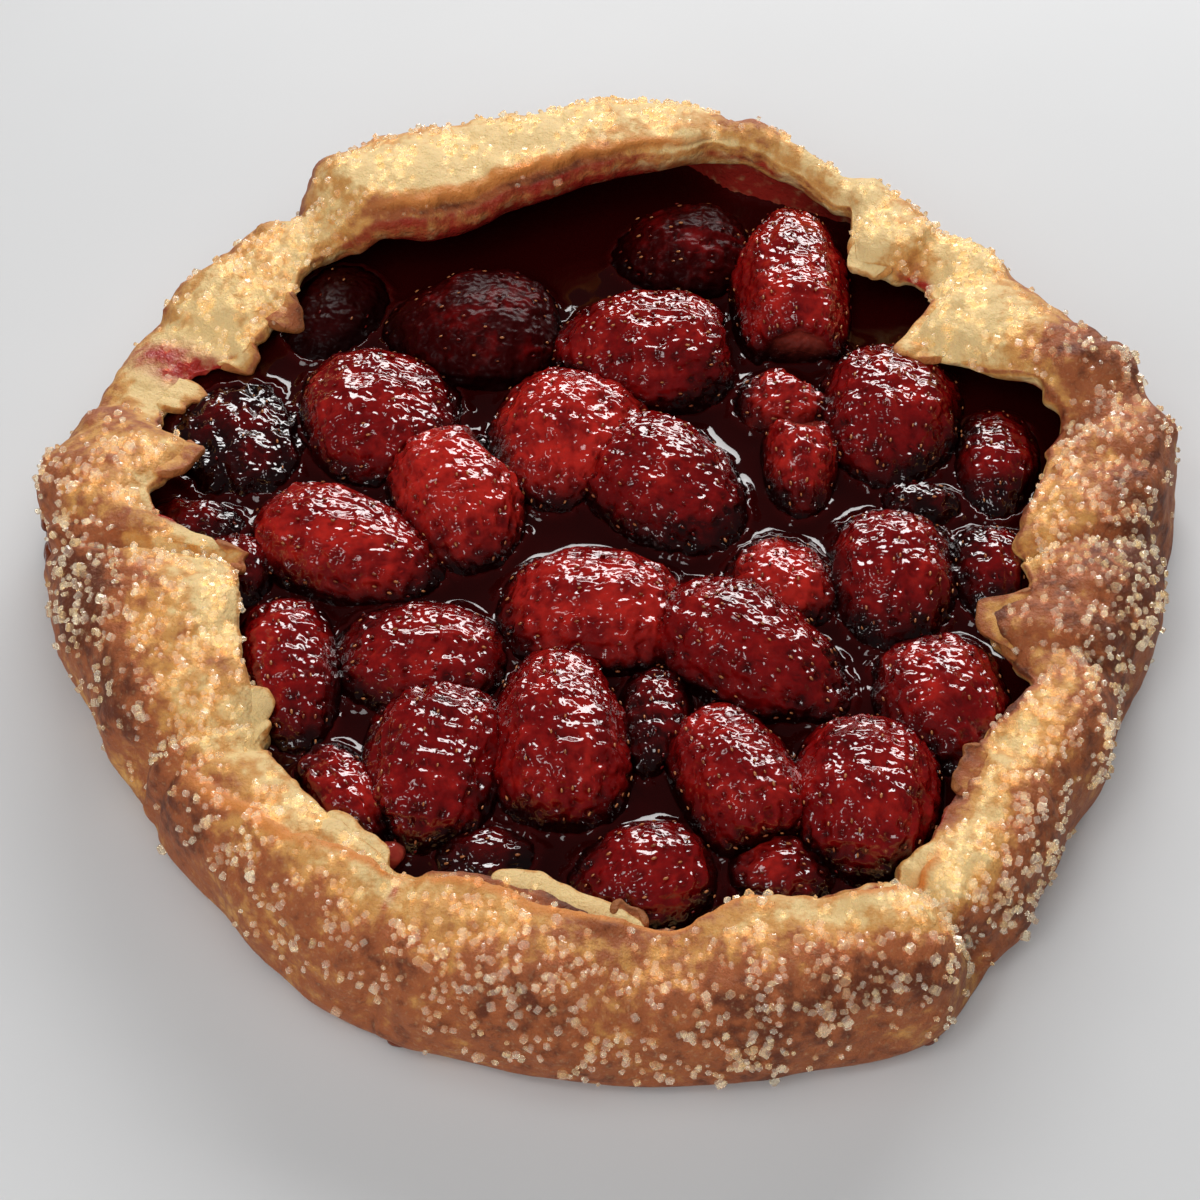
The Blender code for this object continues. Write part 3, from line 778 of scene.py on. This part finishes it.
def seed_places(plan):
    """Places of the seeds on the unit ball, in staggered rows from stem to tip."""
    rows = []
    step = SEED_SPACING / (0.5 * (plan["length"] + plan["height"]))
    turns = np.arange(0.55 * step, pi - 0.3 * step, step)
    for row, turn in enumerate(turns):
        belt = pi * sin(turn) * 0.5 * (plan["width"] + plan["height"])
        count = max(1, round(belt / (SEED_SPACING * 1.05)))
        for seat in range(-1, count + 1):
            slip = dice.normal(0.0, 0.45 / max(belt, 3.0))
            lean = pi * ((seat + 0.5 + 0.5 * (row % 2)) / count - 0.5 + slip)
            place = turn + dice.normal(0.0, 0.13 * step)
            rows.append((-cos(place), sin(place) * sin(lean), sin(place) * cos(lean)))
    return np.array(rows)


def tree_of(points):
    """A search tree over an array of points."""
    tree = kdtree.KDTree(max(len(points), 1))
    for place, point in enumerate(points):
        tree.insert(point, place)
    tree.balance()
    return tree


# %% Make the strawberries
# Heights of the relief in mm. The skin as a whole is raised, because smoothing had drawn it in.
SKIN_LUMPS, SKIN_RIDGES, SKIN_PUCKERS, PIT_DEPTH, SKIN_RISE = 0.8, 0.5, 0.28, 0.62, 1.0


def skin_relief(points, plan, nearest, wrinkle):
    """Height of the skin's relief: lumps, pits at the seeds, and wrinkles along the fruit."""
    stretched = points - np.outer(points @ plan["frame"][0] * 0.5, plan["frame"][0])
    own = float(plan["middle"] @ (0.7, 1.3, 1.0))
    relief = SKIN_LUMPS * unevenness(points, 11.0, own)
    relief += wrinkle * SKIN_RIDGES * ridged(stretched, 3.6, own * 0.3)
    relief += wrinkle * SKIN_PUCKERS * unevenness(stretched, 1.7, 9.0)
    relief += PIT_DEPTH * ease(0.1, 1.35, nearest) + SKIN_RISE
    return relief


def make_strawberry(number):
    """One dressed half strawberry. Returns the seeds' places, outward directions and headings."""
    plan = fruit_plan(number)
    _, brightness, wrinkle = FRUIT_LOOKS[number]
    piece, ball = wrap_ball(number, plan)
    skin = points_of(piece.data)
    cut = make_cuts(skin, number, plan)
    on_ball = tree_of(ball)
    spots = np.array([on_ball.find(place)[1] for place in seed_places(plan)])
    spots = spots[cut[spots] < 0.2]
    seeds = tree_of(skin[spots])
    nearest = np.array([seeds.find(point)[2] or 9.0 for point in skin])
    write_points(piece.data, skin)
    normals = np.array([tuple(vert.normal) for vert in piece.data.vertices])
    relief = skin_relief(skin, plan, nearest, wrinkle) * (1.0 - 0.75 * cut)
    skin += normals * relief[:, None]
    write_points(piece.data, skin)
    piece.data.shade_smooth()
    paint(piece, "cut", cut)
    # Painted shade: darker in the pits round the seeds.
    paint(piece, "pit_shade", 1.0 - ease(0.3, 1.3, nearest))
    # Brightness is partly the fruit's own tone and partly painted light and shade; it is below 0 under the
    # border's roof.
    paint(piece, "bright", np.full(len(skin), brightness))
    # Painted light and shade: lighter high on the fruit and where the skin faces up and back towards the
    # window, darker low down and on the near side.
    facing_light = ease(-0.4, 0.7, normals[:, 2] + 0.35 * normals[:, 1])
    painted_light = ease(SYRUP_LEVEL - 0.5, SYRUP_LEVEL + 10.5, skin[:, 2])
    paint(piece, "painted_light", painted_light * (0.30 + 0.70 * facing_light))
    settle(piece, "fruit", f"strawberry_{number:02d}")
    directions = np.array([tuple(piece.data.vertices[spot].normal) for spot in spots]).reshape(-1, 3)
    return piece, skin[spots].reshape(-1, 3), directions, np.tile(plan["frame"][0], (len(spots), 1))


SYRUP_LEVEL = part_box("syrup")[1].z / MM
strawberries, seed_spots, seed_normals, seed_heads = [], [], [], []
for number in FRUIT_LOOKS:
    piece, spots, directions, heads = make_strawberry(number)
    strawberries.append(piece)
    seed_spots.append(spots)
    seed_normals.append(directions)
    seed_heads.append(heads)
seed_spots, seed_normals, seed_heads = [np.concatenate(part) for part in
                                        (seed_spots, seed_normals, seed_heads)]
print("strawberries:", len(strawberries), "seeds:", len(seed_spots),
      "faces:", sum(len(piece.data.polygons) for piece in strawberries))

# %% [markdown]
# A roasted strawberry is wet with its own juice: the skin is dark crimson, with a brighter red on cut faces.
# Painted light makes it a brighter red on top, and painted shade makes it nearly black low down, on the near
# side and in the seed pits. Its shine is the skin's own, so that the wrinkles break it into hard little
# glints.

# %% Fruit finish
SHADE_BLACK_RED, DEEP, CRIMSON = (0.006, 0.0002, 0.0003), (0.03, 0.0004, 0.0006), (0.17, 0.0018, 0.0022)
SCARLET, FLESH = (0.46, 0.016, 0.010), (0.52, 0.07, 0.045)
SHADED = (1, 2, 3)          # these lie under the roof of the border, dull and nearly black


def fruit_look(name, shine, rough):
    """The finish of roasted skin: how much it mirrors, and how rough its wet film is."""
    finish, wire = new_finish(name, IOR=1.45, Specular_IOR_Level=shine, Subsurface_Weight=0.06,
                              Subsurface_Radius=(0.004, 0.0008, 0.0005), Subsurface_Scale=0.8)
    patchy, fine_grain = wire.grain(8.0, 3.0, shift=0.2), wire.grain(2.2, 3.0, shift=0.9)
    # glow is the fruit's own patchy tone plus painted light and shade: the brightness, the height and facing,
    # and the pits.
    glow = wire.painted("bright") * 0.9 + (patchy - 0.5) * 1.4 + (fine_grain - 0.5) * 0.7
    glow = glow + wire.painted("painted_light") * 0.4 - wire.painted("pit_shade") * 0.32 - 0.26
    colour = glow.step(-0.3, 0.4).blend(DEEP, CRIMSON)
    colour = glow.step(0.3, 1.1).blend(colour, SCARLET)
    flesh = (wire.painted("cut") * (0.4 + fine_grain)).clamp()
    colour = flesh.blend(colour, FLESH)
    # Painted shade: near black low down and on the sides turned from the window.
    colour = (wire.painted("painted_light") + (patchy - 0.5) * 0.6).step(0.05, 0.80).blend(SHADE_BLACK_RED, colour)
    wet = wire.bump(wire.grain(2.2, 1.0, 0.4, 0.4, wide=1.3), 0.85)
    wet = wire.bump(wire.grain(1.2, 0.0, 0.4, 0.1), 0.34, wet)
    feed(finish, Base_Color=colour, Roughness=rough + 0.06 - 0.10 * patchy, Normal=wet)
    return finish


fruit_finish = fruit_look("roasted_fruit", 1.0, 0.10)
# Painted shade: the three berries under the border's roof get a dark, dull copy of the finish with little
# shine.
shaded_finish = fruit_look("shaded_fruit", 0.12, 0.34)
for number, piece in zip(FRUIT_LOOKS, strawberries):
    piece.data.materials.append(shaded_finish if number in SHADED else fruit_finish)

# %% Model one seed and copy it
SEED_SIZE, SEED_TAPER = (0.55, 0.27, 0.20), 0.3     # half length, width and height in mm
LEAST_RISE, HIDDEN_SHARE = 2.2, 0.58                # a seed shows this far above the syrup at least
deselect()
bpy.ops.mesh.primitive_ico_sphere_add(subdivisions=1, radius=1.0)
seed_points, seed_faces = small_shape(SEED_SIZE)
seed_points[:, 1] *= 1.0 - SEED_TAPER * seed_points[:, 0]


def scatter(name, spots, frames, sizes, points, faces, tones):
    """Copies of one small shape as a single piece. Each frame is a 3 by 3 turn."""
    count, corners = len(spots), len(points)
    placed = np.einsum("nij,nkj->nki", frames, points[None] * sizes[:, None, None])
    placed = placed + spots[:, None, :]
    every = [tuple(corner + copy * corners for corner in face)
             for copy in range(count) for face in faces]
    piece = make_piece(name, placed.reshape(-1, 3), every)
    paint(piece, "tone", np.repeat(tones, corners))
    return piece


def upright_frames(normals, heads):
    """Turns that stand a shape's z on the normals, with its x near the given heading."""
    side = np.cross(normals, heads)
    side /= np.maximum(np.linalg.norm(side, axis=1, keepdims=True), 1e-9)
    front = np.cross(side, normals)
    return np.stack([front, side, normals], axis=2)


shown = seed_spots[:, 2] > SYRUP_LEVEL + LEAST_RISE
shown &= dice.random(len(seed_spots)) > HIDDEN_SHARE
spots, normals_here, heads = seed_spots[shown], seed_normals[shown], seed_heads[shown]
sizes = dice.uniform(0.8, 1.15, len(spots))
seeds = scatter("strawberry_seeds", spots + normals_here * 0.12, upright_frames(normals_here, heads),
                sizes, seed_points, seed_faces, dice.random(len(spots)))
seed_finish, wire = new_finish("golden_seed", Specular_IOR_Level=0.6)
tone = wire.painted("tone")
feed(seed_finish, Base_Color=tone.step(0.1, 0.9).blend((0.12, 0.006, 0.005), (0.46, 0.17, 0.06)),
     Roughness=0.14 + 0.14 * tone)
seeds.data.materials.append(seed_finish)
settle(seeds, "fruit")
print("seeds shown:", len(spots))

# %% [markdown]
# ## The syrup
# Juice and sugar have cooked to a dark syrup that fills the gaps. Wet syrup climbs a little way up
# whatever it touches, and that thin curved rim is what shines along the back of each berry. The
# surface starts as a plain grid cut to the crust's inside, gets finer faces only near the fruit, and
# is then lifted there in a curve.

# %% Lay the syrup's surface
GRID_STEP, RIM_BAND = 1.4, 3.0          # face size away from the fruit, and width of the finer band
RIM_RISE, RIM_LENGTH, WALL_RISE, WALL_LENGTH = 1.9, 1.2, 1.2, 1.5     # how high and far it climbs
SHORE_POINTS, SKIRT = 7, 6.0            # points in a mean distance; depth of the side below the surface
waterline = sections[:, WATERLINE]
edge_reach = np.linalg.norm((waterline - POLE)[:, :2], axis=1)


def wall_distance(points):
    """How far each point is inside the crust's wall at the syrup's level; negative in the wall."""
    away = (np.asarray(points) - POLE)[:, :2]
    turn = np.degrees(np.arctan2(away[:, 1], away[:, 0])) % 360.0
    stations = np.append(np.arange(SECTIONS), SECTIONS) * 360.0 / SECTIONS
    reach = np.interp(turn, stations, np.append(edge_reach, edge_reach[0]))
    return reach - np.linalg.norm(away, axis=1)


shore = np.concatenate([points_of(piece.data) for piece in strawberries])
shore = shore[np.abs(shore[:, 2] - SYRUP_LEVEL - 0.3) < 0.45]
shore_tree = tree_of(shore * (1.0, 1.0, 0.0))


def shore_distance(points):
    """Level distance to where fruit breaks the surface: a mean of near points, so it has no steps."""
    return np.array([sum(near[2] for near in shore_tree.find_n((point[0], point[1], 0.0), SHORE_POINTS))
                     for point in points]) / SHORE_POINTS


deselect()
span = 2.0 * (edge_reach.max() + 4.0)
steps = round(span / GRID_STEP)
middle = tuple(POLE * MM + np.array((0, 0, SYRUP_LEVEL * MM)))
bpy.ops.mesh.primitive_grid_add(x_subdivisions=steps, y_subdivisions=steps, size=span * MM,
                                location=middle)
bpy.ops.object.transform_apply(location=True)
syrup = bpy.context.object
syrup.name = syrup.data.name = "dark_syrup"


def select_faces(piece, chosen):
    """Select faces in edit mode, by one true or false for each face."""
    bpy.ops.object.mode_set(mode="OBJECT")
    for part in (piece.data.vertices, piece.data.edges, piece.data.polygons):
        part.foreach_set("select", np.zeros(len(part), dtype=bool))
    piece.data.polygons.foreach_set("select", np.asarray(chosen, dtype=bool))
    bpy.ops.object.mode_set(mode="EDIT")


def face_middles(piece):
    values = np.empty(len(piece.data.polygons) * 3)
    piece.data.polygons.foreach_get("center", values)
    return values.reshape(-1, 3) / MM


bpy.ops.object.mode_set(mode="EDIT")
bpy.ops.mesh.select_mode(type="FACE")
select_faces(syrup, wall_distance(face_middles(syrup)) < -2.0)
bpy.ops.mesh.delete(type="FACE")
for band in (RIM_BAND, 0.6 * RIM_BAND):
    bpy.ops.object.mode_set(mode="OBJECT")
    select_faces(syrup, shore_distance(face_middles(syrup)) < band)
    bpy.ops.mesh.subdivide(number_cuts=1)
bpy.ops.object.mode_set(mode="OBJECT")
print("syrup faces:", len(syrup.data.polygons))

# %% Lift its rims and close it below
surface = points_of(syrup.data)
to_fruit, to_wall = shore_distance(surface), wall_distance(surface)
surface[:, 2] = SYRUP_LEVEL + RIM_RISE * np.exp(-to_fruit / RIM_LENGTH)
surface[:, 2] += WALL_RISE * np.exp(-np.abs(to_wall) / WALL_LENGTH)
surface[:, 2] += 0.12 * unevenness(surface, 16.0, 5.0)
write_points(syrup.data, surface)
paint(syrup, "thin", np.exp(-to_fruit / 1.6) + np.exp(-np.abs(to_wall) / 4.0))
bpy.ops.object.mode_set(mode="EDIT")
bpy.ops.mesh.select_all(action="DESELECT")
bpy.ops.mesh.select_mode(type="EDGE")
bpy.ops.mesh.select_non_manifold()
bpy.ops.mesh.extrude_region_move(TRANSFORM_OT_translate={"value": (0.0, 0.0, -SKIRT * MM)})
bpy.ops.mesh.edge_face_add()
bpy.ops.mesh.select_all(action="SELECT")
bpy.ops.mesh.normals_make_consistent(inside=False)
bpy.ops.object.mode_set(mode="OBJECT")
syrup.data.shade_smooth()

# %% Syrup finish
syrup_finish, wire = new_finish("dark_syrup", Roughness=0.05, IOR=1.42, Specular_IOR_Level=0.6)
thin = (wire.painted("thin") * (0.5 + wire.grain(4.0))).clamp()
colour = thin.step(0.3, 1.0).blend((0.022, 0.0008, 0.0008), (0.040, 0.0015, 0.0015))
feed(syrup_finish, Base_Color=colour, Normal=wire.bump(wire.grain(9.0, 0.0), 0.05))
syrup.data.materials.append(syrup_finish)
settle(syrup, "syrup", "syrup")
print("syrup level:", round(SYRUP_LEVEL, 1), "mm")

# %% [markdown]
# Juice boiled over at the left and baked hard on the outside as dark glossy lumps, and a soft scrap
# of fruit was pushed up against the lip at the front left. Both are balls, squashed and made uneven.

# %% Baked juice and a scrap of fruit
# (angle, level, half thickness, half width and half height in millimetres)
DRIPS = ((170.8, 0.9, 1.3, 3.6, 1.9), (173.4, 0.6, 1.8, 4.2, 2.2), (176.2, 0.9, 1.5, 3.8, 2.6),
         (177.6, 1.7, 1.0, 2.0, 3.4), (174.2, 1.5, 0.9, 1.5, 2.8),
         (250.0, 0.4, 0.9, 1.8, 0.8), (299.0, 0.4, 0.9, 2.0, 0.8))
SCRAP_PLACE, SCRAP_SIZE = (-42.4, -79.4, 17.6), (4.2, 2.6, 2.4)


def lump(name, place, turn, half_sizes):
    """A small uneven ball, in millimetres."""
    deselect()
    bpy.ops.mesh.primitive_ico_sphere_add(subdivisions=4, radius=1.0)
    ball = bpy.context.object
    ball.name = ball.data.name = name
    shape = points_of(ball.data) * MM * np.array(half_sizes)
    across = np.array([-np.sin(turn), np.cos(turn), 0.0])
    outward = np.array([np.cos(turn), np.sin(turn), 0.0])
    shape = shape @ np.array([outward, across, (0.0, 0.0, 1.0)])
    shape *= 1.0 + 0.22 * unevenness(shape + place, 1.8, 3.0)[:, None]
    write_points(ball.data, shape + place)
    ball.data.shade_smooth()
    return ball


drips = []
for number, (angle, level, *half_sizes) in enumerate(DRIPS):
    drips.append(lump(f"drip_{number}", on_crust(level, [angle])[0], radians(angle), half_sizes))
baked = join_pieces("baked_juice", drips)
baked_finish, wire = new_finish("baked_juice", Roughness=0.16, Specular_IOR_Level=0.6)
feed(baked_finish, Base_Color=wire.grain(2.5, 2.0).blend((0.05, 0.004, 0.003), (0.26, 0.055, 0.014)),
     Normal=wire.bump(wire.grain(1.2, 2.0), 0.3))
baked.data.materials.append(baked_finish)
settle(baked, "syrup")
scrap = lump("fruit_scrap", np.array(SCRAP_PLACE), 0.6, SCRAP_SIZE)
for name, amount in (("cut", 0.8), ("pit_shade", 0.0), ("bright", 0.7), ("painted_light", 1.0)):
    paint(scrap, name, np.full(len(scrap.data.vertices), amount))
scrap.data.materials.append(fruit_finish)
settle(scrap, "fruit")
print("baked juice faces:", len(baked.data.polygons), "scrap faces:", len(scrap.data.polygons))

# %% [markdown]
# ## Sugar
# Coarse sugar was scattered on the border before baking. The grains are blunt little blocks and
# chips, 1 to 2.5 mm across, half clear. Each kind is modelled once and copied as one joined mesh.
# They lie thickest on the left and right rims and thin out down the wall.

# %% Where the sugar lies
# (angle, level, half width in degrees, half height in levels, share)
SUGAR = ((200, 6.2, 12, 2.0, 1.5), (190, 5.4, 7, 1.8, 1.2), (209, 6.2, 8, 1.8, 0.9), (176, 5.6, 5, 2.0, 0.9),
         (171, 6.6, 4, 1.4, 0.6), (140, 6.8, 7, 1.3, 1.6), (132, 6.4, 7, 1.5, 1.0), (147, 6.6, 4, 1.2, 0.6),
         (6, 6.6, 7, 1.6, 1.6), (356, 5.8, 9, 1.6, 1.3), (349, 5.2, 8, 1.6, 0.9), (336, 5.8, 8, 1.8, 0.8),
         (322, 6.2, 7, 1.8, 1.0), (313, 5.4, 8, 2.2, 0.8), (32, 6.8, 12, 1.7, 0.9), (43, 6.6, 6, 1.2, 0.9),
         (302, 6.0, 6, 1.2, 1.5), (306, 3.6, 8, 1.4, 0.8), (288, 6.6, 7, 1.4, 0.9), (286, 4.4, 10, 1.8, 1.0),
         (267, 5.6, 9, 0.9, 0.6), (272, 3.4, 14, 1.6, 0.5), (256, 5.4, 8, 1.8, 0.6), (240, 5.0, 9, 1.8, 0.55),
         (228, 5.2, 6, 1.2, 0.8), (235, 7.6, 9, 0.8, 0.3), (97, 5.6, 16, 1.5, 0.5), (84, 5.2, 8, 1.4, 0.6),
         (115, 5.6, 8, 1.6, 0.4), (56, 6.0, 8, 1.4, 0.4), (15, 5.4, 6, 1.4, 0.7), (328, 3.6, 14, 1.2, 0.3))
SUGAR_BASE, SUGAR_TRIES = 0.025, 12500


def sugar_places(tries):
    """Random points on the crust that were kept by how much sugar lies there."""
    grid = points.reshape(STATIONS, ROWS, 3)
    wanted = SUGAR_BASE * on_border(1.0, 8.8) + patches(SUGAR) * on_border(1.2, 9.0)
    wanted *= 0.35 + 1.5 * ease(-0.25, 0.45, unevenness(points, 7.0, 77.0))
    rows = np.where((levels > 0.8) & (levels < 9.2))[0]
    weight = np.zeros(ROWS)
    weight[rows] = np.linalg.norm(np.gradient(grid, axis=1), axis=2).mean(0)[rows]
    station = dice.integers(0, STATIONS, tries)
    row = dice.choice(ROWS, tries, p=weight / weight.sum())
    keep = dice.random(tries) < wanted.reshape(STATIONS, ROWS)[station, row]
    station, row = station[keep], row[keep]
    facing = surface_normals(grid)
    jitter = dice.uniform(-0.5, 0.5, (len(row), 2))
    along = grid[(station + 1) % STATIONS, row] - grid[station, row]
    across = grid[station, np.minimum(row + 1, ROWS - 1)] - grid[station, row]
    spots = grid[station, row] + along * jitter[:, :1] + across * jitter[:, 1:]
    return spots, facing[station, row]


def random_turns(count):
    """Random turns as 3 by 3 frames."""
    quats = dice.normal(size=(count, 4))
    quats /= np.linalg.norm(quats, axis=1, keepdims=True)
    w, x, y, z = quats.T
    return np.stack([1 - 2 * (y * y + z * z), 2 * (x * y - z * w), 2 * (x * z + y * w),
                     2 * (x * y + z * w), 1 - 2 * (x * x + z * z), 2 * (y * z - x * w),
                     2 * (x * z - y * w), 2 * (y * z + x * w), 1 - 2 * (x * x + y * y)],
                    axis=1).reshape(-1, 3, 3)


# %% Model a block and a chip
BLOCK_SIZE, CHIP_SIZE, BLUNT = (1.0, 0.86, 0.74), (1.0, 0.8, 0.7), 0.13
deselect()
bpy.ops.mesh.primitive_cube_add(size=1.0)
block_points, block_faces = small_shape(BLOCK_SIZE, BLUNT)
bpy.ops.mesh.primitive_ico_sphere_add(subdivisions=1, radius=0.55)
chip_points, chip_faces = small_shape(CHIP_SIZE)
print("block faces:", len(block_faces), "chip faces:", len(chip_faces))

# %% Scatter the sugar
# Sizes are times the shape that was modelled; a grain is raised by a share of its size
GRAIN_SIZE, GRAIN_SPREAD, SMALLEST, LARGEST = 0.30, 0.20, 0.9, 2.0      # the first two are of a logarithm
BLOCK_SHARE, GRAIN_RISE = 0.45, 0.22
sugar_finish, wire = new_finish("coarse_sugar", Roughness=0.10, Transmission_Weight=0.78, IOR=1.45,
                                Specular_IOR_Level=0.7)
tone = wire.painted("tone")
feed(sugar_finish, Base_Color=tone.step(0.2, 1.0).blend((0.98, 0.91, 0.74), (0.92, 0.74, 0.46)))
spots, facing = sugar_places(SUGAR_TRIES)
sizes = np.clip(dice.lognormal(GRAIN_SIZE, GRAIN_SPREAD, len(spots)), SMALLEST, LARGEST)
blocky = dice.random(len(spots)) < BLOCK_SHARE
for name, chosen, shape, shape_faces in (("sugar_blocks", blocky, block_points, block_faces),
                                         ("sugar_chips", ~blocky, chip_points, chip_faces)):
    grains = scatter(name, spots[chosen] + facing[chosen] * sizes[chosen, None] * GRAIN_RISE,
                     random_turns(chosen.sum()), sizes[chosen], shape, shape_faces,
                     dice.random(chosen.sum()))
    grains.data.shade_flat()
    grains.visible_shadow = False
    grains.data.materials.append(sugar_finish)
    settle(grains, "pastry")
    print(name, chosen.sum(), "grains,", len(grains.data.polygons), "faces")

# %% Finish
deselect()
bpy.context.view_layer.update()
